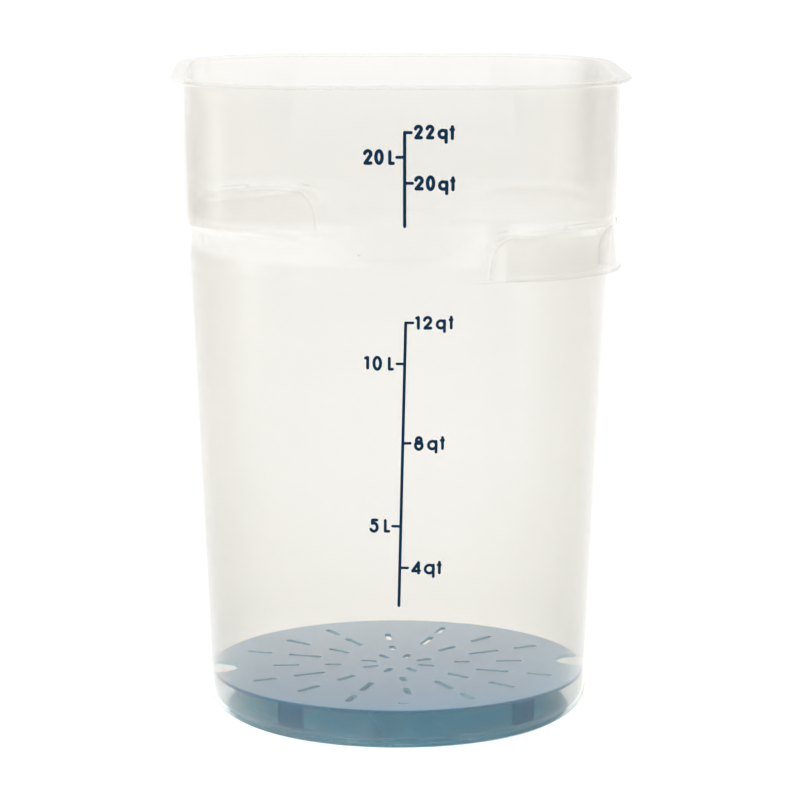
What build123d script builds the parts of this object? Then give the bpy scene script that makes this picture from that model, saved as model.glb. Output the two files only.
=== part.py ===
from build123d import *
import os
from math import atan2, cos, degrees, radians, sin, sqrt

# Dough proofing container: a tall one-piece translucent tub, and a slotted drain shelf that stands on its floor.
# Millimetres, +Z up, origin at the centre of the base, front face (with the measuring scale) towards -Y.

# ---- tub: overall ----
height = 418.0          # base to top of the rim
wall = 2.2              # moulded wall thickness
floor_top = 4.2         # inner floor above the standing ring
foot_rise = 1.4         # underside of the base sits this far above the standing ring
foot_inner = 98.0       # inner radius of the standing ring

# ---- tub: round tapered lower body ----
cone_r0 = 123.3         # outer radius extrapolated to z = 0
cone_k = 0.0423         # growth of the radius per mm of height
base_corner = 14.3      # outer rounding between wall and base

# ---- tub: rounded-square upper wall ----
sq_a0 = 127.0           # outer half width extrapolated to z = 0
sq_k = 0.0244           # growth of the half width per mm of height
sq_c = 62.7             # the corner arcs are centred at (+-sq_c, +-sq_c)
draft = 1.398           # degrees, atan(sq_k)

# ---- tub: ledge between the round body and the rounded-square wall ----
cove_z = 305.7          # the cove springs from the cone here
cove_r = 20.9           # radius of the cove under the ledge
ledge_thick = 4.7       # height of the ledge's edge
ledge_proud = 1.1       # how far the edge stands out of the upper wall

# ---- tub: rim flange ----
flange_a = 143.9        # half width of the flange
flange_corner = 81.2    # its plan corner radius
flange_thick = 2.0
flange_fillet = 3.2

# ---- tub: corner handles (front right and back left) ----
grip_bottom = 298.3     # lower edge of the skirt
grip_ref_z = 328.0      # at this height the skirt's outer radius is grip_ref_r
grip_ref_r = 72.35
grip_k = 0.113          # the skirt leans out by this much per mm downwards
grip_wall = 2.5
bead_tall = 2.5         # bead along the skirt's lower edge
bead_proud = 0.7
step_z = 322.6          # upper edge of the skirt's face at its front end
step_slope = 0.163      # and how it climbs along x
step_top = 331.0
window_w = 16.8         # drain window through the skirt
window_z0 = 323.4
window_z1 = 328.5
window_shift = 3.0      # the window sits this far off the middle of the corner
grip_end = 0.6          # the webs stand this far beyond the corner arc

# ---- drain shelf ----
shelf_r = 121.5
shelf_top = 26.1
shelf_thick = 2.1
shelf_yaw = 3.4         # degrees about +Z
slot_w = 4.2
notch_r = 14.6
notch_c = 119.6
leg_out = 107.1
leg_thick = 2.6
leg_half = 5.35         # degrees, half of each leg's arc
leg_clear = 0.1         # the legs stop this far above the floor


def cone(z):
    return cone_r0 + cone_k * z


def half(z):
    return sq_a0 + sq_k * z


def grip(z):
    return grip_ref_r + (grip_ref_z - z) * grip_k


cove_c = cone(cove_z) + cove_r          # distance of the cove's centre from the axis
z_flat = cove_z + cove_r                # underside of the ledge in the corners
z_ledge = z_flat + ledge_thick          # top of the ledge's edge
cone_end = cove_z + 3.8

# ---- everything below the ledge and outside the round body: a ring that stays open ----
with BuildPart() as under_ledge:
    with BuildSketch(Plane.XZ):
        with BuildLine():
            Polyline((cone(cove_z), cove_z), (cone(cove_z), cove_z - 16), (230, cove_z - 16), (230, z_flat), (cove_c, z_flat))
            RadiusArc((cove_c, z_flat), (cone(cove_z), cove_z), -cove_r)
        make_face()
    revolve(axis=Axis.Z)

# ---- everything above the ledge's flared top: the same cove, one edge height further up ----
top_r = cove_c + 1.2
crest_z = cone_end + 2.2                # the round body's shoulder at the middle of each flat side
top_in = top_r - sqrt(cove_r ** 2 - (crest_z - cove_z - ledge_thick) ** 2)
with BuildPart() as above_ledge:
    with BuildSketch(Plane.XZ):
        with BuildLine():
            Polyline((top_r, z_ledge), (230, z_ledge), (230, z_ledge + 12), (128, z_ledge + 12), (128, crest_z), (top_in, crest_z))
            RadiusArc((top_in, crest_z), (top_r, z_ledge), cove_r)
        make_face()
    revolve(axis=Axis.Z)

# ---- region inside the tub under the ledge, solid in the corners ----
in_r = cove_r + wall
with BuildPart() as inside_ledge:
    with BuildSketch(Plane.XZ):
        with BuildLine():
            Polyline((cove_c - in_r, cove_z), (cove_c - in_r, cove_z - 30), (230, cove_z - 30), (230, cove_z + in_r), (cove_c, cove_z + in_r))
            RadiusArc((cove_c, cove_z + in_r), (cove_c - in_r, cove_z), -in_r)
        make_face()
    revolve(axis=Axis.Z)

# ---- the rounded-square space inside the upper wall ----
z_lo = cove_z - 10
with BuildPart() as upper_space:
    with BuildSketch(Plane.XY.offset(z_lo)):
        RectangleRounded(2 * (half(z_lo) - wall), 2 * (half(z_lo) - wall), half(z_lo) - wall - sq_c)
    extrude(amount=height + 5 - z_lo, taper=-draft)
    add(inside_ledge.part, mode=Mode.SUBTRACT)

# ---- the round space inside the lower body ----
in_corner = base_corner - wall
ri_floor = cone(floor_top + in_corner) - wall
with BuildPart() as lower_space:
    with BuildSketch(Plane.XZ):
        with BuildLine():
            Polyline((0, floor_top), (ri_floor - in_corner, floor_top))
            RadiusArc((ri_floor - in_corner, floor_top), (ri_floor, floor_top + in_corner), -in_corner)
            Polyline((ri_floor, floor_top + in_corner), (cone(cove_z - 3) - wall, cove_z - 3),
                     (half(cove_z + 3) - wall - 0.3, cove_z + 3), (0, cove_z + 3), (0, floor_top))
        make_face()
    revolve(axis=Axis.Z)

# ---- the upper wall as a solid block, also used to trim the handles ----
with BuildPart() as upper_block:
    with BuildSketch(Plane.XY.offset(z_lo)):
        RectangleRounded(2 * half(z_lo), 2 * half(z_lo), half(z_lo) - sq_c)
    extrude(amount=height - z_lo, taper=-draft)

# ---- the ledge's edge band: proud of the wall everywhere but at the two handles ----
with BuildPart() as band:
    with BuildSketch(Plane.XY.offset(z_lo)):
        RectangleRounded(2 * (half(z_lo) + ledge_proud), 2 * (half(z_lo) + ledge_proud), half(z_lo) + ledge_proud - sq_c)
    extrude(amount=z_ledge + 6 - z_lo, taper=-draft)
    with Locations((sq_c + 60, -sq_c - 60, z_lo + 30), (-sq_c - 60, sq_c + 60, z_lo + 30)):
        Box(120, 120, 100, mode=Mode.SUBTRACT)
    add(above_ledge.part, mode=Mode.SUBTRACT)

# ---- space above the sloping upper edge of a handle's face, outside the upper wall ----
with BuildPart() as over_grip:
    with BuildSketch(Plane.XZ):
        with BuildLine():
            Polyline((30, step_z + step_slope * (30 - sq_c)), (sq_c + (step_top - step_z) / step_slope, step_top),
                     (190, step_top), (190, 350), (30, 350), (30, step_z + step_slope * (30 - sq_c)))
        make_face()
    extrude(amount=190)
    add(upper_block.part, mode=Mode.SUBTRACT)

# ---- one handle, front right: a leaning skirt round the corner, closed by a web at each end, open below ----
axis_grip = Axis((sq_c, -sq_c, 0), (0, 0, -1))
zt = z_flat + 2.0
with BuildPart() as handle:
    with BuildSketch(Plane(origin=(sq_c, -sq_c, 0), x_dir=(1, 0, 0), z_dir=(0, -1, 0))):
        with BuildLine():
            Polyline((grip(grip_bottom) - grip_wall, grip_bottom), (grip(grip_bottom) + bead_proud - 0.5, grip_bottom),
                     (grip(grip_bottom) + bead_proud, grip_bottom + 0.5),
                     (grip(grip_bottom + bead_tall) + bead_proud, grip_bottom + bead_tall - 0.7),
                     (grip(grip_bottom + bead_tall), grip_bottom + bead_tall), (grip(zt), zt),
                     (grip(zt) - grip_wall, zt), (grip(grip_bottom) - grip_wall, grip_bottom))
        make_face()
    revolve(axis=axis_grip, revolution_arc=90)
    # a web at each end, running back to the round body at 45 degrees and leaning with the skirt
    for side in (0, 1):
        for z in (grip_bottom, z_flat - 1.5):
            a = sq_c + grip(z)
            x = sq_c - grip_end
            web = [(x, -a), (x - 15, -a + 15), (x - 13.23, -a + 16.77), (x + 1.03, -a + grip_wall),
                   (sq_c + 1, -a + grip_wall), (sq_c + 1, -a + 0.03), (x, -a)]
            if side:
                web = [(-q, -p) for p, q in web]
            with BuildSketch(Plane.XY.offset(z)):
                with BuildLine():
                    Polyline(*web)
                make_face()
        loft(ruled=True)
    add(over_grip.part, mode=Mode.SUBTRACT)

# ---- the tub ----
ro_corner = cone(base_corner)
with BuildPart() as rim_block:
    add(upper_block.part)
    with BuildSketch(Plane.XY.offset(height - flange_thick)):
        RectangleRounded(2 * flange_a, 2 * flange_a, flange_corner)
    extrude(amount=flange_thick)
    # the flange runs into the wall through a small radius, built as three leaning bands
    for t0, t1 in ((0, 30), (30, 60), (60, 90)):
        d0, d1 = flange_fillet * (1 - cos(radians(t0))), flange_fillet * (1 - cos(radians(t1)))
        h0, h1 = flange_fillet * (1 - sin(radians(t0))), flange_fillet * (1 - sin(radians(t1)))
        a_band = half(height - flange_thick - h0) + d0
        with BuildSketch(Plane.XY.offset(height - flange_thick - h0)):
            RectangleRounded(2 * a_band, 2 * a_band, a_band - sq_c)
        extrude(amount=h0 - h1, taper=-degrees(atan2(d1 - d0, h0 - h1)))

with BuildPart() as container_body:
    add(rim_block.part)
    add(band.part)
    add(under_ledge.part, mode=Mode.SUBTRACT)
    with BuildSketch(Plane.XZ):
        with BuildLine():
            Polyline((0, foot_rise), (foot_inner - 3, foot_rise), (foot_inner, 0), (ro_corner - base_corner, 0))
            RadiusArc((ro_corner - base_corner, 0), (ro_corner, base_corner), -base_corner)
            Polyline((ro_corner, base_corner), (cone(cone_end), cone_end), (cone(cone_end) - 0.9, cone_end + 1.5),
                     (half(cone_end) - 0.6, crest_z), (0, crest_z), (0, foot_rise))
        make_face()
    revolve(axis=Axis.Z)
    add(handle.part)
    add(handle.part.rotate(Axis.Z, 180))
    add(lower_space.part, mode=Mode.SUBTRACT)
    add(upper_space.part, mode=Mode.SUBTRACT)
    # thickened pads inside the ledge keep the wall sound behind the drain windows
    for turn in (-45, 135):
        with BuildSketch(Plane.XY.offset(z_flat + 1)):
            with Locations(Location((157.0 * cos(radians(turn)), 157.0 * sin(radians(turn)), 0), (0, 0, turn))):
                Rectangle(6.0, window_w + 12)
        extrude(amount=window_z1 + wall - z_flat - 1)
    for turn in (-45, 135):
        with BuildSketch(Plane.XY.offset(window_z0)):
            with Locations(Location((162.0 * cos(radians(turn)) - window_shift * sin(radians(turn)),
                                     162.0 * sin(radians(turn)) + window_shift * cos(radians(turn)), 0), (0, 0, turn))):
                Rectangle(9.0, window_w)
        extrude(amount=window_z1 - window_z0, mode=Mode.SUBTRACT)
    rim_edges = container_body.edges().filter_by(
        lambda e: abs(e.center().Z - height) < 0.01 and e.bounding_box().size.Z < 0.01)
    fillet(rim_edges, 0.6)

# ---- the drain shelf ----
rows_8 = [(14.1, 25.6), (53.3, 76.3), (87.8, 105.5)]   # on the eight spokes at 22.5 + 45 k degrees
rows_axis = [(37.1, 48.1), (64.8, 82.6)]               # on the four spokes at 90 k degrees
rows_diag = [(42.8, 60.1), (77.3, 98.2)]               # on the four spokes at 45 + 90 k degrees
with BuildPart() as drain_shelf:
    with BuildSketch(Plane.XY.offset(shelf_top - shelf_thick)):
        Circle(shelf_r)
        with Locations((notch_c * cos(radians(shelf_yaw)), notch_c * sin(radians(shelf_yaw))),
                       (-notch_c * cos(radians(shelf_yaw)), -notch_c * sin(radians(shelf_yaw)))):
            Circle(notch_r, mode=Mode.SUBTRACT)
        for rows, first, step, count in ((rows_8, 22.5, 45.0, 8), (rows_axis, 0.0, 90.0, 4), (rows_diag, 45.0, 90.0, 4)):
            for k in range(count):
                ang = first + step * k + shelf_yaw
                for r0, r1 in rows:
                    rm = (r0 + r1) / 2
                    with Locations(Location((rm * cos(radians(ang)), rm * sin(radians(ang)), 0), (0, 0, ang))):
                        SlotOverall(r1 - r0, slot_w, mode=Mode.SUBTRACT)
        ang = 270.6
        with Locations(Location((104.0 * cos(radians(ang)), 104.0 * sin(radians(ang)), 0), (0, 0, ang + 90))):
            SlotOverall(7.4, slot_w, mode=Mode.SUBTRACT)
    extrude(amount=shelf_thick)
    outer_top = drain_shelf.edges().filter_by(
        lambda e: abs(e.center().Z - shelf_top) < 0.01 and e.bounding_box().size.Z < 0.01
        and e.geom_type == GeomType.CIRCLE and e.radius > 100)
    fillet(outer_top, 0.5)
    with BuildSketch(Plane.XY.offset(floor_top + leg_clear)):
        for k in range(4):
            mid = 45 + 90 * k + shelf_yaw
            a0, a1 = radians(mid - leg_half), radians(mid + leg_half)
            am = radians(mid)
            ro, ri = leg_out, leg_out - leg_thick
            with BuildLine():
                Line((ri * cos(a0), ri * sin(a0)), (ro * cos(a0), ro * sin(a0)))
                ThreePointArc((ro * cos(a0), ro * sin(a0)), (ro * cos(am), ro * sin(am)), (ro * cos(a1), ro * sin(a1)))
                Line((ro * cos(a1), ro * sin(a1)), (ri * cos(a1), ri * sin(a1)))
                ThreePointArc((ri * cos(a1), ri * sin(a1)), (ri * cos(am), ri * sin(am)), (ri * cos(a0), ri * sin(a0)))
            make_face()
    extrude(amount=shelf_top - shelf_thick + 0.5 - floor_top - leg_clear)

container_body.part.label = "container_body"
drain_shelf.part.label = "drain_shelf"

os.makedirs("parts", exist_ok=True)
export_step(container_body.part, "parts/container_body.step")
export_step(drain_shelf.part, "parts/drain_shelf.step")
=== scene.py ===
"""Dough proofing container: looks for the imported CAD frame. Metres, +Z up, front face towards -Y."""

import math

import bmesh
import bpy
import numpy as np
from mathutils import Matrix, Vector
from mathutils.bvhtree import BVHTree
from mathutils.geometry import delaunay_2d_cdt


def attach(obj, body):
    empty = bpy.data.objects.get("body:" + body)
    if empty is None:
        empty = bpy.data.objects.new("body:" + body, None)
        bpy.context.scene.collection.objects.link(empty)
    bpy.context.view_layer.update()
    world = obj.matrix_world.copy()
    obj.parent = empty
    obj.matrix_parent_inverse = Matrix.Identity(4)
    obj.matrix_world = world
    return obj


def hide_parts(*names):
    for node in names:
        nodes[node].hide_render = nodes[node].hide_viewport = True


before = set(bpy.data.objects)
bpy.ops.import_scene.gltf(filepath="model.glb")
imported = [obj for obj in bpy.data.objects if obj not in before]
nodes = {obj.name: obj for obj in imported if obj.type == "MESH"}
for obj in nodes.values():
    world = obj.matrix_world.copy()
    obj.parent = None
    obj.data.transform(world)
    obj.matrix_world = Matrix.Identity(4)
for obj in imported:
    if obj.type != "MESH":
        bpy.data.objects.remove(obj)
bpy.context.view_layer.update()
scene = bpy.context.scene
MM = 0.001


# ------------------------------------------------------------------ node helpers
def new_material(name):
    mat = bpy.data.materials.new(name)
    mat.use_nodes = True
    mat.node_tree.nodes.clear()
    return mat, mat.node_tree


def add(tree, kind, x=0, y=0, **values):
    n = tree.nodes.new(kind)
    n.location = (x, y)
    for k, v in values.items():
        setattr(n, k, v)
    return n


def link(tree, a, b):
    tree.links.new(a, b)


def math_node(tree, op, a, b=None, x=0, y=0, clamp=False):
    n = add(tree, "ShaderNodeMath", x, y, operation=op, use_clamp=clamp)
    for i, v in enumerate((a, b)):
        if v is None:
            continue
        if hasattr(v, "links"):
            link(tree, v, n.inputs[i])
        else:
            n.inputs[i].default_value = v
    return n.outputs[0]


def mix_shader(tree, fac, a, b, x=0, y=0):
    n = add(tree, "ShaderNodeMixShader", x, y)
    if hasattr(fac, "links"):
        link(tree, fac, n.inputs[0])
    else:
        n.inputs[0].default_value = fac
    link(tree, a, n.inputs[1])
    link(tree, b, n.inputs[2])
    return n.outputs[0]


def noise(tree, scale, detail=2.0, x=0, y=0, stretch=(1, 1, 1), roughness=0.5):
    co = add(tree, "ShaderNodeTexCoord", x - 400, y)
    mp = add(tree, "ShaderNodeMapping", x - 200, y)
    mp.inputs["Scale"].default_value = stretch
    link(tree, co.outputs["Object"], mp.inputs["Vector"])
    n = add(tree, "ShaderNodeTexNoise", x, y)
    n.inputs["Scale"].default_value = scale
    n.inputs["Detail"].default_value = detail
    n.inputs["Roughness"].default_value = roughness
    link(tree, mp.outputs["Vector"], n.inputs["Vector"])
    return n.outputs["Fac"]


def ramp(tree, fac, stops, x=0, y=0):
    n = add(tree, "ShaderNodeValToRGB", x, y)
    while len(n.color_ramp.elements) < len(stops):
        n.color_ramp.elements.new(0.5)
    for e, (p, c) in zip(n.color_ramp.elements, stops):
        e.position = p
        e.color = (*c, 1.0)
    link(tree, fac, n.inputs["Fac"])
    return n.outputs["Color"]


# ------------------------------------------------------------------ materials
def milky():
    """Natural polypropylene: mostly clear to straight light, with a little milk in it and a soft gloss."""
    mat, t = new_material("milky_polypropylene")
    out = add(t, "ShaderNodeOutputMaterial", 1600, 0)
    bevel = add(t, "ShaderNodeBevel", -400, -500, samples=4)
    bevel.inputs["Radius"].default_value = 0.0006
    wavy = noise(t, 22.0, 1.0, -500, -300, (1, 1, 0.3))
    bump = add(t, "ShaderNodeBump", -100, -400)
    bump.inputs["Strength"].default_value = 0.05
    bump.inputs["Distance"].default_value = 0.002
    link(t, wavy, bump.inputs["Height"])
    link(t, bevel.outputs["Normal"], bump.inputs["Normal"])
    normal = bump.outputs["Normal"]

    cloud = noise(t, 9.0, 3.0, -500, 200, (1, 1, 0.4))
    body = ramp(t, cloud, [(0.3, (0.930, 0.922, 0.900)), (0.7, (0.955, 0.950, 0.930))], 0, 250)
    clear_face = add(t, "ShaderNodeBsdfTransparent", 500, 450)
    clear_face.inputs["Color"].default_value = (0.960, 0.958, 0.951, 1)
    clear_edge = add(t, "ShaderNodeBsdfTransparent", 500, 350)
    clear_edge.inputs["Color"].default_value = (0.880, 0.873, 0.852, 1)
    trans = add(t, "ShaderNodeBsdfTranslucent", 300, 200)
    diff = add(t, "ShaderNodeBsdfDiffuse", 300, 50)
    for n in (trans, diff):
        link(t, body, n.inputs["Color"])
        link(t, normal, n.inputs["Normal"])
    milk = mix_shader(t, 0.07, trans.outputs[0], diff.outputs[0], 550, 150)

    corner = add(t, "ShaderNodeTexCoord", -300, 1500)
    axes = add(t, "ShaderNodeSeparateXYZ", -100, 1500)
    link(t, corner.outputs["Object"], axes.inputs[0])
    spot0 = axes.outputs

    # one surface lets T^(1/cos) of the light straight through
    facing = add(t, "ShaderNodeLayerWeight", -100, 600)
    facing.inputs["Blend"].default_value = 0.5
    link(t, normal, facing.inputs["Normal"])
    graze = facing.outputs["Facing"]
    cosine = math_node(t, "SUBTRACT", 1.0, graze, 100, 600)
    cosine = math_node(t, "MAXIMUM", cosine, 0.34, 250, 600)
    inverse = math_node(t, "DIVIDE", 1.0, cosine, 400, 600)
    haze = ramp(t, cloud, [(0.25, (0.915, 0.915, 0.915)), (0.75, (0.94, 0.94, 0.94))], 100, 800)
    through = math_node(t, "POWER", haze, inverse, 550, 700)
    opacity = math_node(t, "SUBTRACT", 1.0, through, 700, 700, clamp=True)
    # the handles, ledge and flange are made more transparent than the wall: partly real, as thin moulded plastic, and
    # partly painted light, so that the webs, the ledge, the flange, the skirts' top edges and the upper left wall read
    # lighter, as where the light falls
    clarity_and_painted_light = add(t, "ShaderNodeAttribute", 400, 1250, attribute_name="clarity_and_painted_light")
    skirt = add(t, "ShaderNodeAttribute", 400, 1400, attribute_name="skirt")
    # painted highlight: a thin strip at the skirt's upright corner and at the upper edge of its bead is made more
    # transparent so it reads bright
    away = math_node(t, "MINIMUM", math_node(t, "ABSOLUTE", spot0[0], None, 100, 1500),
                     math_node(t, "ABSOLUTE", spot0[1], None, 100, 1600), 250, 1550)
    away = math_node(t, "ABSOLUTE", math_node(t, "SUBTRACT", away, 0.0624, 350, 1550), None, 450, 1550)
    over = math_node(t, "ABSOLUTE", math_node(t, "SUBTRACT", spot0[2], 0.3012, 350, 1700), None, 450, 1700)
    away = math_node(t, "MINIMUM", away, over, 600, 1600)
    painted_edge_line = add(t, "ShaderNodeMapRange", 750, 1600)
    link(t, away, painted_edge_line.inputs["Value"])
    for key, v in (("From Min", 0.0003), ("From Max", 0.0008), ("To Min", 0.8), ("To Max", 0.0)):
        painted_edge_line.inputs[key].default_value = v
    painted_edge_line = math_node(t, "MULTIPLY", painted_edge_line.outputs["Result"], skirt.outputs["Fac"], 900, 1600)
    less = math_node(t, "MAXIMUM", clarity_and_painted_light.outputs["Fac"], painted_edge_line, 1000, 1400)
    less = math_node(t, "SUBTRACT", 1.0, less, 1100, 1300, clamp=True)
    # painted light: the rounding of the base is made milkier on its left so it reads whiter, as on the lit side
    foot = add(t, "ShaderNodeMapRange", 500, 1700, interpolation_type="SMOOTHSTEP")
    left = add(t, "ShaderNodeMapRange", 500, 1900)
    for n, end, values in ((foot, spot0[2], (0.004, 0.032, 1.0, 0.0)), (left, spot0[0], (-0.115, 0.0, 1.6, 0.0))):
        link(t, end, n.inputs["Value"])
        for key, v in zip(("From Min", "From Max", "To Min", "To Max"), values):
            n.inputs[key].default_value = v
    left_foot_painted_light = math_node(t, "MULTIPLY", foot.outputs["Result"], left.outputs["Result"], 650, 1800)
    opacity = math_node(t, "MULTIPLY", opacity, math_node(t, "ADD", left_foot_painted_light, 1.0, 750, 1800), 780, 900)
    opacity = math_node(t, "MINIMUM", opacity, 0.24, 800, 800)
    opacity = math_node(t, "MULTIPLY", opacity, less, 850, 750)
    # painted shade: the bead's lower edge gets the darker transparent colour, a dark stripe beneath the bead
    painted_bead_shade = add(t, "ShaderNodeMapRange", 600, 1850)
    link(t, spot0[2], painted_bead_shade.inputs["Value"])
    for key, v in (("From Min", 0.2987), ("From Max", 0.2995), ("To Min", 0.9), ("To Max", 0.0)):
        painted_bead_shade.inputs[key].default_value = v
    painted_bead_shade = math_node(t, "MULTIPLY", painted_bead_shade.outputs["Result"], skirt.outputs["Fac"], 800, 1850)
    # painted shade: the wall is made darker towards the base
    place = add(t, "ShaderNodeTexCoord", -100, 1000)
    spot = add(t, "ShaderNodeSeparateXYZ", 50, 1000)
    link(t, place.outputs["Object"], spot.inputs[0])
    low_painted_shade = add(t, "ShaderNodeMapRange", 200, 1000, interpolation_type="SMOOTHSTEP")
    link(t, spot.outputs[2], low_painted_shade.inputs["Value"])
    for key, v in (("From Min", 0.02), ("From Max", 0.18), ("To Min", 1.95), ("To Max", 1.0)):
        low_painted_shade.inputs[key].default_value = v
    # painted shade: the wall above the ledge is made darker, the right-hand wall most where it is seen slanted
    side = add(t, "ShaderNodeMapRange", 200, 1250, interpolation_type="SMOOTHSTEP")
    link(t, spot.outputs[0], side.inputs["Value"])
    for key, v in (("From Min", 0.115), ("From Max", 0.142), ("To Min", 0.0), ("To Max", 0.85)):
        side.inputs[key].default_value = v
    path_and_painted_shade = math_node(t, "ADD", inverse, low_painted_shade.outputs["Result"], 450, 950)
    upper = add(t, "ShaderNodeMapRange", 200, 1450)
    link(t, spot.outputs[2], upper.inputs["Value"])
    for key, v in (("From Min", 0.30), ("From Max", 0.34), ("To Min", 0.3), ("To Max", 2.0)):
        upper.inputs[key].default_value = v
    slanted = math_node(t, "MULTIPLY", math_node(t, "SUBTRACT", inverse, 1.0, 500, 1050), 1.2, 600, 1050, clamp=True)
    share = math_node(t, "ADD", math_node(t, "MULTIPLY", slanted, 0.85, 650, 1050), 0.15, 700, 1050)
    share = math_node(t, "ADD", math_node(t, "MULTIPLY", side.outputs["Result"], share, 300, 1350), 0.20, 350, 1300)
    right_edge_painted_shade = math_node(t, "MULTIPLY", share, upper.outputs["Result"], 400, 1250)
    path_and_painted_shade = math_node(t, "ADD", path_and_painted_shade, right_edge_painted_shade, 500, 900)
    path_and_painted_shade = math_node(t, "SUBTRACT", path_and_painted_shade, 2.0, 550, 900)
    path_and_painted_shade = math_node(t, "MULTIPLY", path_and_painted_shade, 0.40, 700, 900)
    path_and_painted_shade = math_node(t, "ADD", path_and_painted_shade, painted_bead_shade, 800, 900, clamp=True)
    clear = mix_shader(t, path_and_painted_shade, clear_face.outputs[0], clear_edge.outputs[0], 700, 400)
    # partly real, partly painted shade: light that grazes the rounding of the base travels through much plastic and is
    # absorbed; this is made strong so the base's rounding reads dark, a painted contact shade
    graze_and_painted_shade = math_node(t, "SUBTRACT", inverse, 1.9, 500, 1150, clamp=True)
    graze_and_painted_shade = math_node(t, "MULTIPLY", graze_and_painted_shade, foot.outputs["Result"], 700, 1150)
    flat = add(t, "ShaderNodeVectorMath", 0, 2000, operation="MULTIPLY")
    link(t, corner.outputs["Object"], flat.inputs[0])
    flat.inputs[1].default_value = (1, 1, 0)
    radius = add(t, "ShaderNodeVectorMath", 200, 2000, operation="LENGTH")
    link(t, flat.outputs[0], radius.inputs[0])
    ring = add(t, "ShaderNodeMapRange", 400, 2000, interpolation_type="SMOOTHSTEP")
    link(t, radius.outputs["Value"], ring.inputs["Value"])
    for key, v in (("From Min", 0.100), ("From Max", 0.108), ("To Min", 0.0), ("To Max", 1.0)):
        ring.inputs[key].default_value = v
    graze_and_painted_shade = math_node(t, "MULTIPLY", graze_and_painted_shade, ring.outputs["Result"], 720, 1200)
    # painted shade: the right-hand wall above the ledge gets the same dark transparent colour
    right_wall = add(t, "ShaderNodeMapRange", 200, 1700, interpolation_type="SMOOTHSTEP")
    high_up = add(t, "ShaderNodeMapRange", 200, 1900)
    for n, end, values in ((right_wall, spot0[0], (0.122, 0.135, 0.0, 0.62)), (high_up, spot0[2], (0.335, 0.360, 0.0, 1.0))):
        link(t, end, n.inputs["Value"])
        for key, v in zip(("From Min", "From Max", "To Min", "To Max"), values):
            n.inputs[key].default_value = v
    upper_right_painted_shade = math_node(t, "MULTIPLY", right_wall.outputs["Result"], high_up.outputs["Result"], 400, 1800)
    upper_right_painted_shade = math_node(t, "MULTIPLY", upper_right_painted_shade, slanted, 550, 1900)
    graze_and_painted_shade = math_node(t, "MAXIMUM", graze_and_painted_shade, upper_right_painted_shade, 750, 1150)
    painted_shade_clear = add(t, "ShaderNodeBsdfTransparent", 500, 300)
    painted_shade_clear.inputs["Color"].default_value = (0.765, 0.760, 0.740, 1)
    clear = mix_shader(t, graze_and_painted_shade, clear, painted_shade_clear.outputs[0], 780, 350)
    pure = add(t, "ShaderNodeBsdfTransparent", 700, 550)
    pure.inputs["Color"].default_value = (1, 1, 1, 1)
    clear = mix_shader(t, less, pure.outputs[0], clear, 850, 450)
    wall = mix_shader(t, opacity, clear, milk, 850, 200)

    # gloss of both faces of a thin wall, counted on the face towards the eye: 2F / (1 + F)
    gloss = add(t, "ShaderNodeBsdfAnisotropic", 850, -100)
    gloss.inputs["Roughness"].default_value = 0.25
    gloss.inputs["Color"].default_value = (1, 1, 1, 1)
    link(t, normal, gloss.inputs["Normal"])
    fifth = math_node(t, "POWER", graze, 5.0, 200, -250)
    fres = math_node(t, "MULTIPLY", fifth, 0.97, 350, -250)
    fres = math_node(t, "ADD", fres, 0.016, 500, -250)
    twice = math_node(t, "MULTIPLY", fres, 2.0, 650, -200)
    below = math_node(t, "ADD", fres, 1.0, 650, -350)
    slab = math_node(t, "DIVIDE", twice, below, 800, -250)
    geo = add(t, "ShaderNodeNewGeometry", 500, -450)
    front = math_node(t, "SUBTRACT", 1.0, geo.outputs["Backfacing"], 700, -450)
    # painted shade: the gloss is weakened towards the base, most at the floor, as where the contact shade falls
    most = add(t, "ShaderNodeMapRange", 750, -650, interpolation_type="SMOOTHSTEP")
    curl = add(t, "ShaderNodeMapRange", 900, -500, interpolation_type="SMOOTHSTEP")
    for n, values in ((most, (0.004, 0.030, 0.09, 0.75)), (curl, (0.001, 0.016, 0.25, 1.0))):
        link(t, spot0[2], n.inputs["Value"])
        for key, v in zip(("From Min", "From Max", "To Min", "To Max"), values):
            n.inputs[key].default_value = v
    slab = math_node(t, "MINIMUM", slab, most.outputs["Result"], 900, -250)
    slab = math_node(t, "MULTIPLY", slab, curl.outputs["Result"], 980, -400)
    shine = math_node(t, "MULTIPLY", slab, front, 1050, -300, clamp=True)
    final = mix_shader(t, shine, wall, gloss.outputs[0], 1300, 0)
    link(t, final, out.inputs["Surface"])
    return mat


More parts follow.
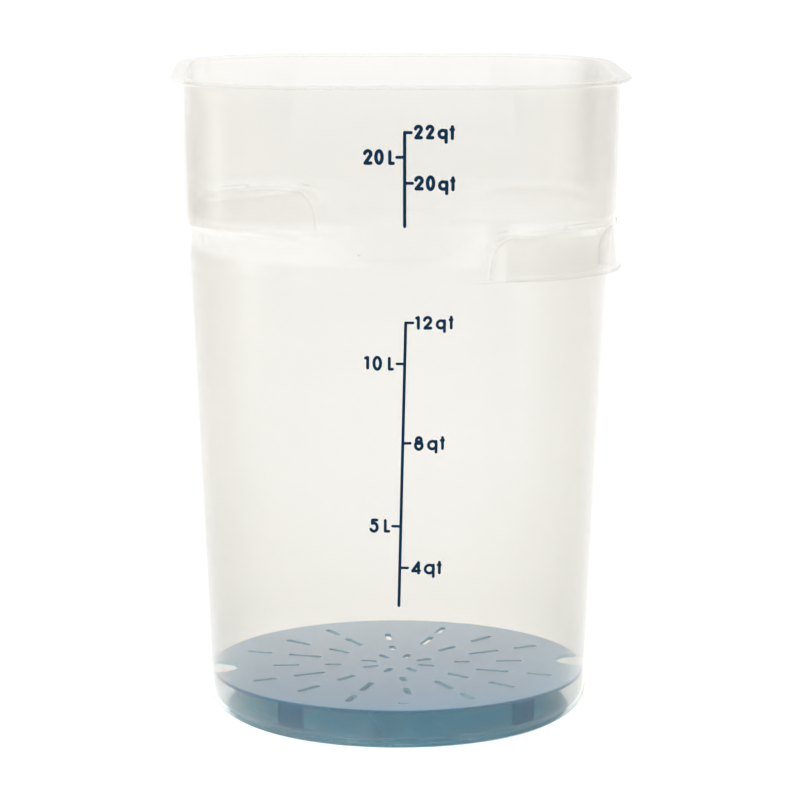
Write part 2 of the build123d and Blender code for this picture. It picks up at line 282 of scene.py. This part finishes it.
def blue():
    """Blue plastic of the shelf: glossy, and some blue light comes through it."""
    mat, t = new_material("blue_plastic_shelf")
    out = add(t, "ShaderNodeOutputMaterial", 1400, 0)
    bevel = add(t, "ShaderNodeBevel", -400, -500, samples=4)
    bevel.inputs["Radius"].default_value = 0.0005
    grain = noise(t, 700.0, 2.0, -700, -250)
    swirl = noise(t, 30.0, 2.0, -700, -450, (1, 6, 1))
    height = math_node(t, "MULTIPLY", swirl, 3.0, -480, -450)
    height = math_node(t, "ADD", height, grain, -300, -350)
    bump = add(t, "ShaderNodeBump", -100, -400)
    bump.inputs["Strength"].default_value = 0.10
    bump.inputs["Distance"].default_value = 0.0002
    link(t, height, bump.inputs["Height"])
    link(t, bevel.outputs["Normal"], bump.inputs["Normal"])
    normal = bump.outputs["Normal"]
    cloud = noise(t, 14.0, 3.0, -500, 150)
    colour = ramp(t, cloud, [(0.3, (0.012, 0.110, 0.215)), (0.7, (0.022, 0.140, 0.260))], 0, 200)
    tint = ramp(t, cloud, [(0.3, (0.004, 0.520, 0.700)), (0.7, (0.010, 0.580, 0.780))], 0, 400)
    diff = add(t, "ShaderNodeBsdfDiffuse", 350, 100)
    link(t, colour, diff.inputs["Color"])
    trans = add(t, "ShaderNodeBsdfTranslucent", 350, 250)
    link(t, tint, trans.inputs["Color"])
    for n in (diff, trans):
        link(t, normal, n.inputs["Normal"])
    # light crosses the thin disc, but is lost on its long way out through an edge or a leg
    geo = add(t, "ShaderNodeNewGeometry", 0, 700)
    axes = add(t, "ShaderNodeSeparateXYZ", 200, 700)
    link(t, geo.outputs["True Normal"], axes.inputs[0])
    upright = math_node(t, "ABSOLUTE", axes.outputs[2], None, 350, 700)
    share = math_node(t, "MULTIPLY", upright, 0.64, 500, 700)
    share = math_node(t, "ADD", share, 0.26, 600, 600)
    body = mix_shader(t, share, diff.outputs[0], trans.outputs[0], 750, 150)
    # partly a fine grain on the top face, partly a painted sheen: upward faces get a pale colour so the top reads
    # lighter
    top_face = math_node(t, "POWER", math_node(t, "MAXIMUM", axes.outputs[2], 0.0, 350, 900), 8.0, 500, 1000)
    top_face = math_node(t, "MULTIPLY", top_face, 0.23, 650, 1000)
    # painted light: the walls of the slots and the narrow sides of the legs get a paler colour, as if lit inside the
    # slots
    place = add(t, "ShaderNodeTexCoord", 0, -600)
    spot = add(t, "ShaderNodeSeparateXYZ", 200, -600)
    link(t, place.outputs["Object"], spot.inputs[0])
    flat = add(t, "ShaderNodeVectorMath", 0, 1200, operation="MULTIPLY")
    link(t, place.outputs["Object"], flat.inputs[0])
    flat.inputs[1].default_value = (1, 1, 0)
    radius = add(t, "ShaderNodeVectorMath", 200, 1200, operation="LENGTH")
    link(t, flat.outputs[0], radius.inputs[0])
    inner = add(t, "ShaderNodeMapRange", 400, 1200)
    link(t, radius.outputs["Value"], inner.inputs["Value"])
    for key, v in (("From Min", 0.110), ("From Max", 0.113), ("To Min", 1.0), ("To Max", 0.0)):
        inner.inputs[key].default_value = v
    turn = math_node(t, "SUBTRACT", math_node(t, "MULTIPLY", axes.outputs[0], spot.outputs[1], 300, 1400),
                     math_node(t, "MULTIPLY", axes.outputs[1], spot.outputs[0], 300, 1500), 450, 1400)
    turn = math_node(t, "DIVIDE", math_node(t, "ABSOLUTE", turn, None, 550, 1400),
                     math_node(t, "MAXIMUM", radius.outputs["Value"], 0.004, 550, 1500), 650, 1400)
    above = math_node(t, "GREATER_THAN", spot.outputs[2], 0.0239, 600, 1600)
    inner = math_node(t, "MULTIPLY", inner.outputs["Result"], above, 700, 1600)
    cut_wall = math_node(t, "MULTIPLY", math_node(t, "MAXIMUM", turn, inner, 750, 1350),
                         math_node(t, "SUBTRACT", 1.0, upright, 600, 1250), 850, 1300, clamp=True)
    cut_wall = math_node(t, "MULTIPLY", cut_wall, math_node(t, "ADD", math_node(t, "MULTIPLY", above, 0.60, 800, 1500), 0.18,
                                                            900, 1500), 950, 1300)
    painted_slot_light = add(t, "ShaderNodeBsdfDiffuse", 850, 450)
    link(t, ramp(t, cloud, [(0.3, (0.32, 0.64, 0.76)), (0.7, (0.38, 0.70, 0.82))], 300, 1000), painted_slot_light.inputs["Color"])
    link(t, normal, painted_slot_light.inputs["Normal"])
    matte_and_painted_sheen = add(t, "ShaderNodeBsdfDiffuse", 700, 350)
    link(t, ramp(t, cloud, [(0.3, (0.74, 0.78, 0.89)), (0.7, (0.80, 0.84, 0.95))], 300, 550), matte_and_painted_sheen.inputs["Color"])
    link(t, normal, matte_and_painted_sheen.inputs["Normal"])
    body = mix_shader(t, top_face, body, matte_and_painted_sheen.outputs[0], 900, 200)
    body = mix_shader(t, cut_wall, body, painted_slot_light.outputs[0], 950, 300)
    gloss = add(t, "ShaderNodeBsdfAnisotropic", 600, -100)
    gloss.inputs["Roughness"].default_value = 0.12
    gloss.inputs["Color"].default_value = (1, 1, 1, 1)
    link(t, normal, gloss.inputs["Normal"])
    facing = add(t, "ShaderNodeLayerWeight", 200, -250)
    facing.inputs["Blend"].default_value = 0.5
    link(t, normal, facing.inputs["Normal"])
    fifth = math_node(t, "POWER", facing.outputs["Facing"], 5.0, 400, -250)
    fres = math_node(t, "MULTIPLY", fifth, 0.95, 600, -300)
    # painted sheen: the gloss is made stronger towards the back and the left of the disc
    back_painted_sheen = add(t, "ShaderNodeMapRange", 400, -600)
    link(t, spot.outputs[1], back_painted_sheen.inputs["Value"])
    for key, v in (("From Min", -0.12), ("From Max", 0.12), ("To Min", 0.54), ("To Max", 1.66)):
        back_painted_sheen.inputs[key].default_value = v
    across = add(t, "ShaderNodeMapRange", 400, -800)
    link(t, spot.outputs[0], across.inputs["Value"])
    for key, v in (("From Min", -0.12), ("From Max", 0.12), ("To Min", 1.14), ("To Max", 0.93)):
        across.inputs[key].default_value = v
    fres = math_node(t, "ADD", fres, 0.05, 800, -300)
    # painted shade: the gloss is weakened on vertical faces so the disc's edges and the legs read dark
    edge_painted_shade = math_node(t, "MULTIPLY", upright, 0.7, 500, 850)
    edge_painted_shade = math_node(t, "ADD", edge_painted_shade, 0.3, 650, 850)
    fres = math_node(t, "MULTIPLY", fres, edge_painted_shade, 900, -400)
    fres = math_node(t, "MULTIPLY", fres, across.outputs["Result"], 920, -350)
    fres = math_node(t, "MULTIPLY", fres, back_painted_sheen.outputs["Result"], 950, -300, clamp=True)
    final = mix_shader(t, fres, body, gloss.outputs[0], 1000, 0)
    link(t, final, out.inputs["Surface"])
    return mat


def ink():
    mat, t = new_material("navy_ink")
    out = add(t, "ShaderNodeOutputMaterial", 900, 0)
    speck = noise(t, 1500.0, 2.0, -200, 100)
    colour = ramp(t, speck, [(0.3, (0.0010, 0.024, 0.066)), (0.7, (0.003, 0.034, 0.086))], 100, 100)
    body = add(t, "ShaderNodeBsdfPrincipled", 450, 0)
    link(t, colour, body.inputs["Base Color"])
    body.inputs["Roughness"].default_value = 0.45
    body.inputs["IOR"].default_value = 1.5
    body.inputs["Specular IOR Level"].default_value = 0.06
    link(t, body.outputs[0], out.inputs["Surface"])
    return mat


def white_floor():
    """White board, with a faint painted glow round the tub's foot that evens out the contact shade, and a teal painted
    shade on the board beneath the tub.
    """
    mat, t = new_material("pale_floor")
    out = add(t, "ShaderNodeOutputMaterial", 1000, 0)
    mottle = noise(t, 3.0, 2.0, -200, 100)
    colour = ramp(t, mottle, [(0.3, (0.93, 0.93, 0.93)), (0.7, (0.95, 0.95, 0.95))], 100, 100)
    open_board = add(t, "ShaderNodeBsdfDiffuse", 400, 0)
    link(t, colour, open_board.inputs["Color"])
    # painted shade: the board beneath the tub is darker and teal
    painted_shade_under_tub = add(t, "ShaderNodeBsdfDiffuse", 400, 150)
    painted_shade_under_tub.inputs["Color"].default_value = (0.58, 0.83, 0.87, 1)
    place = add(t, "ShaderNodeTexCoord", -900, -300)
    length = add(t, "ShaderNodeVectorMath", -700, -300, operation="LENGTH")
    link(t, place.outputs["Object"], length.inputs[0])
    rise = add(t, "ShaderNodeMapRange", -400, -200, interpolation_type="SMOOTHSTEP")
    fall = add(t, "ShaderNodeMapRange", -400, -500, interpolation_type="SMOOTHSTEP")
    for n, (lo, hi, a, b) in ((rise, (0.1110, 0.1138, 0.0, 1.0)), (fall, (0.115, 0.20, 1.0, 0.0))):
        link(t, length.outputs["Value"], n.inputs["Value"])
        n.inputs["From Min"].default_value, n.inputs["From Max"].default_value = lo, hi
        n.inputs["To Min"].default_value, n.inputs["To Max"].default_value = a, b
    ring = math_node(t, "MULTIPLY", rise.outputs["Result"], fall.outputs["Result"], -100, -300)
    ring = math_node(t, "MULTIPLY", ring, 0.40, 100, -300)
    near = add(t, "ShaderNodeMapRange", -400, -800, interpolation_type="SMOOTHSTEP")
    link(t, length.outputs["Value"], near.inputs["Value"])
    for key, v in (("From Min", 0.113), ("From Max", 0.136), ("To Min", 0.60), ("To Max", 0.25)):
        near.inputs[key].default_value = v
    plain = math_node(t, "MULTIPLY", rise.outputs["Result"], near.outputs["Result"], 100, -500)
    ring = math_node(t, "ADD", ring, plain, 250, -400)
    glow = add(t, "ShaderNodeEmission", 400, -200)
    link(t, ring, glow.inputs["Strength"])
    both = add(t, "ShaderNodeAddShader", 750, 0)
    link(t, mix_shader(t, rise.outputs["Result"], painted_shade_under_tub.outputs[0], open_board.outputs[0], 600, 100), both.inputs[0])
    link(t, glow.outputs[0], both.inputs[1])
    link(t, both.outputs[0], out.inputs["Surface"])
    return mat


MILKY, BLUE, INK, FLOOR = milky(), blue(), ink(), white_floor()


def paint(obj, mat):
    obj.data.materials.clear()
    obj.data.materials.append(mat)


paint(nodes["drain_shelf"], BLUE)


# ------------------------------------------------------------------ the tub, with its ledge softened
LEDGE_LOW, LEDGE_HIGH = 0.288, 0.346


def smooth_step(v, a, b):
    v = np.clip((v - a) / (b - a), 0.0, 1.0)
    return v * v * (3 - 2 * v)


def ledge_weight(co):
    """1 on the ledge, 0 away from it and at the two corner handles; co is an (n, 3) array in metres."""
    w = smooth_step(co[:, 2], LEDGE_LOW, LEDGE_LOW + 0.012) * (1 - smooth_step(co[:, 2], LEDGE_HIGH - 0.010, LEDGE_HIGH))
    out = np.abs(co[:, 0] - co[:, 1]) / math.sqrt(2)       # along the handles' diagonal
    across = np.abs(co[:, 0] + co[:, 1]) / math.sqrt(2)
    near = (1 - smooth_step(across, 0.0545, 0.0605)) * smooth_step(out, 0.05, 0.07)
    return w * (1 - near)


def softened_tub():
    src = nodes["container_body"]
    me = src.data.copy()
    me.name = "container_wall"
    flat = np.empty(len(me.loops) * 3, dtype=np.float32)
    me.corner_normals.foreach_get("vector", flat)
    me.attributes.new("cad_normal", "FLOAT_VECTOR", "CORNER").data.foreach_set("vector", flat)
    if "custom_normal" in me.attributes:
        me.attributes.remove(me.attributes["custom_normal"])
    bm = bmesh.new()
    bm.from_mesh(me)
    bmesh.ops.remove_doubles(bm, verts=bm.verts, dist=2e-6)
    long = 0.0035
    for _ in range(9):
        todo = [e for e in bm.edges if e.calc_length() > long
                and min(e.verts[0].co.z, e.verts[1].co.z) < LEDGE_HIGH and max(e.verts[0].co.z, e.verts[1].co.z) > LEDGE_LOW]
        if not todo:
            break
        bmesh.ops.subdivide_edges(bm, edges=todo, cuts=1)
        bmesh.ops.triangulate(bm, faces=[f for f in bm.faces if len(f.verts) > 3])
    bm.to_mesh(me)
    bm.free()
    me.validate(clean_customdata=False)

    n = len(me.vertices)
    co = np.empty(n * 3, dtype=np.float64)
    me.vertices.foreach_get("co", co)
    co = co.reshape(n, 3)
    ed = np.empty(len(me.edges) * 2, dtype=np.int64)
    me.edges.foreach_get("vertices", ed)
    ed = ed.reshape(-1, 2)
    count = np.bincount(ed.ravel(), minlength=n).astype(float)[:, None]
    w = ledge_weight(co)[:, None]

    def pull(p, k):
        mean = np.zeros_like(p)
        for axis in range(3):
            mean[:, axis] = (np.bincount(ed[:, 0], weights=p[ed[:, 1], axis], minlength=n)
                             + np.bincount(ed[:, 1], weights=p[ed[:, 0], axis], minlength=n))
        return p + k * w * (mean / count - p)

    for _ in range(26):
        co = pull(pull(co, 0.60), -0.40)
    me.vertices.foreach_set("co", co.ravel())
    me.update()

    # weight 1 on the skirts and webs of the two handles
    z = co[:, 2]
    rise = np.clip(z - 0.3057, 0.0, 0.0208)
    body_r = np.where(z < 0.3057, 0.1233 + 0.0423 * z, 0.15713 - np.sqrt(0.0209 ** 2 - rise ** 2))
    proud = smooth_step(np.hypot(co[:, 0], co[:, 1]) - body_r, 0.0008, 0.0025)
    corner = smooth_step((co[:, 0] - co[:, 1]) * np.sign(co[:, 0]) / math.sqrt(2), 0.11, 0.12)
    level = smooth_step(z, 0.2970, 0.2975) * (1 - smooth_step(z, 0.3255, 0.3266))
    skirt = proud * corner * level
    out = np.abs(co[:, 0] - co[:, 1]) / math.sqrt(2)
    web = 1 - smooth_step(out, 0.1405, 0.1425)
    # painted light: the ledge (more at the front), the flange, the skirts' top edges and the upper left wall are made
    # more transparent so they read lighter; on the handles the webs more than the skirts, as lit from the left
    shelf = w[:, 0] * smooth_step(z, 0.303, 0.309) * (1 - smooth_step(z, 0.330, 0.336))
    shelf *= smooth_step(np.minimum(np.abs(co[:, 0]), np.abs(co[:, 1])), 0.012, 0.060) * np.where(co[:, 1] < 0, 1.0, 0.4)
    flange = smooth_step(z, 0.4110, 0.4135)
    far = co[:, 0] < 0
    clarity_and_painted_light = np.maximum(skirt * np.where(far, 0.72 + 0.13 * web, 0.50 + 0.35 * web), np.maximum(shelf * 0.60, flange * 0.30))
    skirt = skirt * np.where(far, 0.15, 1.0)
    top_edge = corner * smooth_step(out, 0.138, 0.142) * smooth_step(z, 0.3225, 0.3245) * (1 - smooth_step(z, 0.3325, 0.3345))
    sides = smooth_step(z, 0.372, 0.405) * smooth_step(-co[:, 0], 0.120, 0.134)
    clarity_and_painted_light = np.maximum(clarity_and_painted_light, np.maximum(top_edge, sides) * 0.6)
    me.attributes.new("skirt", "FLOAT", "POINT").data.foreach_set("value", skirt.astype(np.float32))
    me.attributes.new("clarity_and_painted_light", "FLOAT", "POINT").data.foreach_set("value", clarity_and_painted_light.astype(np.float32))

    # normals: from the CAD surface away from the ledge, from the softened surface on it
    tri = np.empty(len(me.loops), dtype=np.int64)
    me.loops.foreach_get("vertex_index", tri)
    t = tri.reshape(-1, 3)
    face = np.cross(co[t[:, 1]] - co[t[:, 0]], co[t[:, 2]] - co[t[:, 0]])
    vn = np.zeros((n, 3))
    for k in range(3):
        for axis in range(3):
            vn[:, axis] += np.bincount(t[:, k], weights=face[:, axis], minlength=n)
    vn /= np.maximum(np.linalg.norm(vn, axis=1, keepdims=True), 1e-12)
    cad = np.empty(len(me.loops) * 3, dtype=np.float32)
    me.attributes["cad_normal"].data.foreach_get("vector", cad)
    cad = cad.reshape(-1, 3).astype(float)
    share = smooth_step(w[tri, 0], 0.02, 0.15)[:, None]
    mixed = cad * (1 - share) + vn[tri] * share
    mixed /= np.maximum(np.linalg.norm(mixed, axis=1, keepdims=True), 1e-12)
    me.attributes.remove(me.attributes["cad_normal"])
    me.normals_split_custom_set(mixed.tolist())
    ob = bpy.data.objects.new("container_wall", me)
    ob.matrix_world = src.matrix_world.copy()
    scene.collection.objects.link(ob)
    paint(ob, MILKY)
    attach(ob, "container")
    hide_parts("container_body")
    return ob


tub = softened_tub()

# ------------------------------------------------------------------ printed measuring scale
tub_mesh = bmesh.new()
tub_mesh.from_mesh(tub.data)
tub_tree = BVHTree.FromBMesh(tub_mesh)
tub_mesh.free()


def on_wall(x, z, lift):
    """The point of the front wall at x, z (millimetres), raised by lift towards the front, in metres."""
    hit = tub_tree.ray_cast(Vector((x * MM, -0.3, z * MM)), Vector((0, 1, 0)))[0]
    return Vector((x * MM, hit.y - lift * MM, z * MM))


def disc(c, r, n=14):
    return [(c[0] + r * math.cos(2 * math.pi * k / n), c[1] + r * math.sin(2 * math.pi * k / n)) for k in range(n)]


def bar(p, q, r):
    dx, dy = q[0] - p[0], q[1] - p[1]
    d = math.hypot(dx, dy)
    if d < 1e-9:
        return None
    nx, ny = -dy / d * r, dx / d * r
    return [(p[0] + nx, p[1] + ny), (p[0] - nx, p[1] - ny), (q[0] - nx, q[1] - ny), (q[0] + nx, q[1] + ny)]


def arc(cx, cy, rx, ry, a0, a1, n=18):
    return [(cx + rx * math.cos(math.radians(a0 + (a1 - a0) * k / n)),
             cy + ry * math.sin(math.radians(a0 + (a1 - a0) * k / n))) for k in range(n + 1)]


def glyph(ch, w, h, t):
    """Centre lines of one character, as strokes inside a box of width w and height h with stroke width t."""
    i = t / 2
    W, H = w - i, h - i
    if ch == "0":
        return [arc(w / 2, h / 2, w / 2 - i, h / 2 - i, 0, 360, 30)]
    if ch == "1":
        return [[(i * 0.8, H - 0.35), (W - 0.1, H)], [(W - 0.1, H), (W - 0.1, i)]]
    if ch == "2":
        r = (w - t) / 2
        top = arc(w / 2, H - r, r, r, 172, -38, 18)
        return [top + [(i + 0.25, i)], [(i + 0.25, i), (W, i)]]
    if ch == "4":
        x = w * 0.74
        return [[(x, i), (x, H)], [(x, H), (i, h * 0.27)], [(i, h * 0.27), (W, h * 0.27)]]
    if ch == "5":
        r = (w - t) / 2 * 1.0
        ry = h * 0.29
        bowl = arc(w / 2 - 0.1, i + ry, r + 0.1, ry, 118, -150, 22)
        return [[(W - 0.2, H), (i + 1.15, H)], [(i + 1.15, H), bowl[0]], bowl]
    if ch == "8":
        r1 = h * 0.205
        r2 = h * 0.26
        return [arc(w / 2, H - r1, w / 2 - i - 0.55, r1, 0, 360, 24), arc(w / 2, i + r2, w / 2 - i, r2, 0, 360, 26)]
    if ch == "L":
        return [[(i, H), (i, i)], [(i, i), (W, i)]]
    if ch == "q":
        r = (w - t * 0.9) / 2
        cy = h - r - i - 0.05
        return [arc(i + r - 0.02, cy, r, r, 0, 360, 28), [(W, H - 0.15), (W, i)]]
    if ch == "t":
        x = w * 0.53
        return [[(x, H), (x, i)], [(i, h * 0.70), (W, h * 0.70)]]
    return []


# character, x of its left edge, z of its lower edge, width, height, stroke width (millimetres on the wall)
MARKS = [
    ("2", 6.14, 385.19, 5.55, 9.02, 2.18), ("2", 13.14, 385.18, 5.49, 9.02, 2.18),
    ("q", 20.39, 382.50, 6.28, 9.27, 2.05), ("t", 27.57, 384.79, 3.50, 9.08, 2.05),
    ("2", -24.57, 369.83, 5.86, 9.65, 2.18), ("0", -17.81, 369.69, 5.92, 9.77, 2.18), ("L", -9.35, 369.74, 4.11, 9.10, 2.05),
    ("2", 6.33, 354.14, 5.99, 9.13, 2.18), ("0", 13.41, 353.76, 5.87, 9.74, 2.18),
    ("q", 20.81, 351.31, 6.36, 9.26, 2.05), ("t", 28.06, 353.68, 3.51, 9.19, 2.05),
    ("1", 7.29, 268.78, 2.93, 8.56, 1.90), ("2", 11.94, 268.75, 5.76, 8.56, 1.90),
    ("q", 19.79, 266.38, 6.27, 8.75, 1.80), ("t", 27.71, 268.53, 3.08, 8.57, 1.80),
    ("1", -23.77, 243.93, 3.11, 8.48, 1.90), ("0", -18.83, 243.25, 5.92, 9.35, 1.90), ("L", -9.44, 243.47, 3.78, 8.53, 1.80),
    ("8", 6.65, 193.05, 6.04, 9.38, 1.90), ("q", 14.73, 191.09, 6.49, 8.82, 1.80), ("t", 22.57, 193.21, 3.28, 8.76, 1.80),
    ("5", -20.77, 141.12, 5.91, 9.10, 1.90), ("L", -11.78, 141.33, 3.95, 8.65, 1.80),
    ("4", 5.08, 114.59, 6.27, 8.51, 1.90), ("q", 12.97, 112.13, 6.85, 9.28, 1.80), ("t", 20.99, 114.32, 3.25, 8.58, 1.80),
]
# scale lines and ticks: from, to, width
LINES = [
    [((0.62, 389.37), (0.73, 332.3), 2.04), ((0.62, 389.37), (4.6, 389.37), 1.95),
     ((-4.1, 374.41), (0.65, 374.41), 1.90), ((0.68, 358.6), (5.4, 358.6), 1.90)],
    [((1.44, 273.12), (-2.37, 94.8), 1.86),((1.44, 273.12), (5.9, 273.09), 1.65),
     ((-3.94, 247.66), (0.88, 247.6), 1.65), ((-0.17, 197.94), (4.4, 197.91), 1.65),
     ((-6.35, 145.5), (-1.29, 145.38), 1.65), ((-1.86, 118.98), (3.0, 118.89), 1.65)],
]


def cut(p, q, step=3.0):
    n = max(1, int(math.hypot(q[0] - p[0], q[1] - p[1]) / step))
    return [(p[0] + (q[0] - p[0]) * k / n, p[1] + (q[1] - p[1]) * k / n) for k in range(n + 1)]


def ink_shape(strokes):
    """Triangles of the union of the strokes: each stroke is a list of points and a half width."""
    verts, faces = [], []
    for pts, r in strokes:
        shapes = [bar(p, q, r) for p, q in zip(pts, pts[1:])] + [disc(p, r) for p in pts]
        for s in shapes:
            if s:
                area = sum(a[0] * b[1] - a[1] * b[0] for a, b in zip(s, s[1:] + s[:1]))
                s = s if area > 0 else s[::-1]
                faces.append(list(range(len(verts), len(verts) + len(s))))
                verts += [Vector(v) for v in s]
    co, _e, tris, _v, _oe, inside = delaunay_2d_cdt(verts, [], faces, 0, 1e-5, True)
    return [tuple(c) for c in co], [tuple(f) for f, src in zip(tris, inside) if len(src) > 0]


def build_scale():
    bm = bmesh.new()
    jobs = []
    for ch, x, z, w, h, s in MARKS:
        jobs.append([([(x + px, z + pz) for px, pz in pts], s / 2) for pts in glyph(ch, w, h, s)])
    for group in LINES:
        jobs.append([(cut(p, q), s / 2) for p, q, s in group])
    for job in jobs:
        co, tris = ink_shape(job)
        top = [bm.verts.new(on_wall(x, z, 0.16)) for x, z in co]
        low = [bm.verts.new(on_wall(x, z, 0.02)) for x, z in co]
        used = {}
        for f in tris:
            a = (co[f[1]][0] - co[f[0]][0]) * (co[f[2]][1] - co[f[0]][1]) - (co[f[1]][1] - co[f[0]][1]) * (co[f[2]][0] - co[f[0]][0])
            f = f if a > 0 else f[::-1]
            bm.faces.new([top[i] for i in f])
            bm.faces.new([low[i] for i in reversed(f)])
            for a_, b_ in zip(f, f[1:] + f[:1]):
                used[(a_, b_)] = 1
        for a_, b_ in used:
            if (b_, a_) not in used:
                bm.faces.new((top[b_], top[a_], low[a_], low[b_]))
    loose = [v for v in bm.verts if not v.link_faces]
    bmesh.ops.delete(bm, geom=loose, context="VERTS")
    bmesh.ops.recalc_face_normals(bm, faces=bm.faces)
    me = bpy.data.meshes.new("printed_scale")
    bm.to_mesh(me)
    bm.free()
    ob = bpy.data.objects.new("printed_scale", me)
    scene.collection.objects.link(ob)
    ob.data.materials.append(INK)
    return ob


printed = build_scale()
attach(printed, "container")

# ------------------------------------------------------------------ floor
def build_floor():
    bm = bmesh.new()
    n, r = 64, 12.0
    ring = [bm.verts.new((r * math.cos(2 * math.pi * k / n), r * math.sin(2 * math.pi * k / n), -0.0005)) for k in range(n)]
    bm.faces.new(ring)
    me = bpy.data.meshes.new("floor")
    bm.to_mesh(me)
    bm.free()
    ob = bpy.data.objects.new("floor", me)
    scene.collection.objects.link(ob)
    ob.data.materials.append(FLOOR)
    return ob


floor = build_floor()

# ------------------------------------------------------------------ light
world = bpy.data.worlds.new("studio")
scene.world = world
world.use_nodes = True
wt = world.node_tree
wt.nodes.clear()
wout = add(wt, "ShaderNodeOutputWorld", 900, 0)
sky = add(wt, "ShaderNodeBackground", 300, 100)
plain = add(wt, "ShaderNodeBackground", 300, -100)
plain.inputs["Color"].default_value = (1, 1, 1, 1)
plain.inputs["Strength"].default_value = 1.02
wco = add(wt, "ShaderNodeTexCoord", -700, 100)
wsep = add(wt, "ShaderNodeSeparateXYZ", -500, 100)
link(wt, wco.outputs["Generated"], wsep.inputs[0])
# brightest overhead, dimmer towards the front and to the right of the camera
side = math_node(wt, "MULTIPLY", wsep.outputs[0], -0.36, -300, 200)
back = math_node(wt, "MULTIPLY", wsep.outputs[1], 0.28, -300, 50)
high = math_node(wt, "MULTIPLY", wsep.outputs[2], 0.44, -300, -100)
level = math_node(wt, "ADD", side, back, -100, 150)
level = math_node(wt, "ADD", level, high, 0, 150)
level = math_node(wt, "ADD", level, 0.57, 100, 150)
link(wt, level, sky.inputs["Strength"])
warm = math_node(wt, "MULTIPLY", wsep.outputs[0], 0.5, -300, -300)
warm = math_node(wt, "ADD", warm, 0.5, -100, -300)
link(wt, ramp(wt, warm, [(0.0, (0.985, 1.0, 1.0)), (1.0, (1.0, 0.955, 0.90))], 0, -300), sky.inputs["Color"])
path = add(wt, "ShaderNodeLightPath", 300, 350)
link(wt, mix_shader(wt, path.outputs["Is Camera Ray"], sky.outputs[0], plain.outputs[0], 600, 0), wout.inputs["Surface"])


def softbox(name, where, aim, size, power, colour=(1, 1, 1)):
    data = bpy.data.lights.new(name, "AREA")
    data.shape = "RECTANGLE"
    data.size, data.size_y = size
    data.energy = power
    data.color = colour
    ob = bpy.data.objects.new(name, data)
    scene.collection.objects.link(ob)
    ob.location = where
    ob.rotation_euler = (Vector(aim) - Vector(where)).to_track_quat("-Z", "Y").to_euler()
    return ob


softbox("panel_left", (-1.5, -0.1, 0.55), (0, 0, 0.3), (0.8, 1.0), 2.4)
softbox("strip_left", (-1.45, -1.15, 0.85), (0, 0, 0.3), (0.30, 1.3), 3)
softbox("over_front", (0.45, -0.45, 1.6), (0, 0, 0.3), (0.4, 0.4), 2.5)
top = softbox("over_mouth", (0.0, 0.0, 1.7), (0, 0, 0), (0.3, 0.3), 0.12)
top.data.spread = math.radians(12)
softbox("card_left", (-1.5, -0.16, 0.12), (0.05, -0.14, 0.31), (0.2, 0.3), 0.8)
kick = softbox("kick_back_left", (-0.325, 0.325, 0.33), (-0.115, 0.115, 0.312), (0.15, 0.10), 0.20, (0.96, 1.0, 1.0))
kick.visible_camera = False
kick.visible_glossy = False

# ------------------------------------------------------------------ camera: the photograph's viewing angle
forward = Vector((0.02452769, 0.98532322, -0.16892761)).normalized()
up = Vector((0.00420382, 0.16887530, 0.98562846)).normalized()
right = Vector((0.99969031, -0.02488533, 0.0)).normalized()
roll = math.radians(0.05403)
r2 = right * math.cos(roll) + up * math.sin(roll)
u2 = up * math.cos(roll) - right * math.sin(roll)
cam_data = bpy.data.cameras.new("camera")
cam_data.sensor_width = 36.0
cam_data.sensor_fit = "HORIZONTAL"
cam_data.lens = 36.0 * 3406.61 / 800.0
cam_data.clip_start = 0.05
cam_data.clip_end = 60.0
cam = bpy.data.objects.new("camera", cam_data)
scene.collection.objects.link(cam)
back_axis = -forward
cam.matrix_world = Matrix((
    (r2.x, u2.x, back_axis.x, -0.05311),
    (r2.y, u2.y, back_axis.y, -2.18819),
    (r2.z, u2.z, back_axis.z, 0.57750),
    (0, 0, 0, 1),
))
scene.camera = cam
scene.view_settings.view_transform = "Standard"
